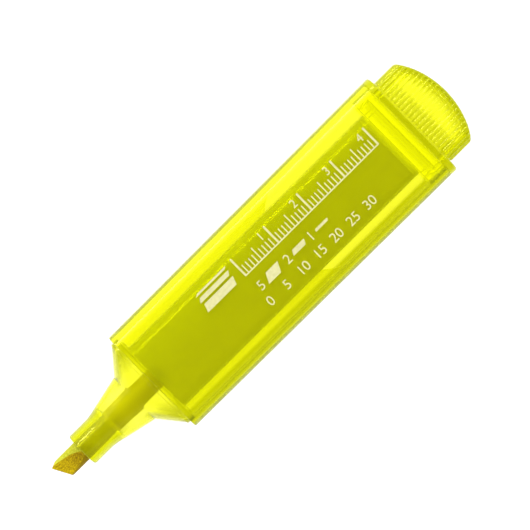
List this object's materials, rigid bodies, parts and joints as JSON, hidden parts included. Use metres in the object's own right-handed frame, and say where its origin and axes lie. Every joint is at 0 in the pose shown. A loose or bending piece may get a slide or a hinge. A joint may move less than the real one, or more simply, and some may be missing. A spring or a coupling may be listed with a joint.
{
  "type": "highlighter pen",
  "caption": "Flat-barrelled translucent highlighter without its cap: chisel nib in a stepped front section, fibre ink core in a film, and a ribbed end plug.",
  "frame": {"origin": "middle of the pen's length and width, on the broad face that it lies on", "axes": "+X along the pen from the nib to the end plug, +Y across the width, +Z through the thickness, up"},
  "size_m": [0.118, 0.0274, 0.015],
  "materials": {
    "barrel_plastic": "translucent fluorescent yellow, glossy",
    "section_plastic": "translucent fluorescent yellow, glossy",
    "nib_fibre": "bonded fibre soaked with yellow ink",
    "core_fibre": "fibre bundle soaked with yellow ink",
    "film": "thin clear film, stained yellow",
    "plug_plastic": "translucent fluorescent yellow, glossy, ribbed"
  },
  "bodies": {
    "case": {"barrel": "barrel_plastic", "front_section": "section_plastic", "ink_core": "core_fibre", "core_film": "film"},
    "nib": {"nib": "nib_fibre"},
    "plug": {"end_plug": "plug_plastic"}
  },
  "joints": [
    {"name": "nib_pull", "type": "slide", "parent": "case", "child": "nib", "axis": [-1, 0, 0], "range_m": [0, 0.024]},
    {"name": "plug_pull", "type": "slide", "parent": "case", "child": "plug", "axis": [1, 0, 0], "range_m": [0, 0.012]}
  ]
}
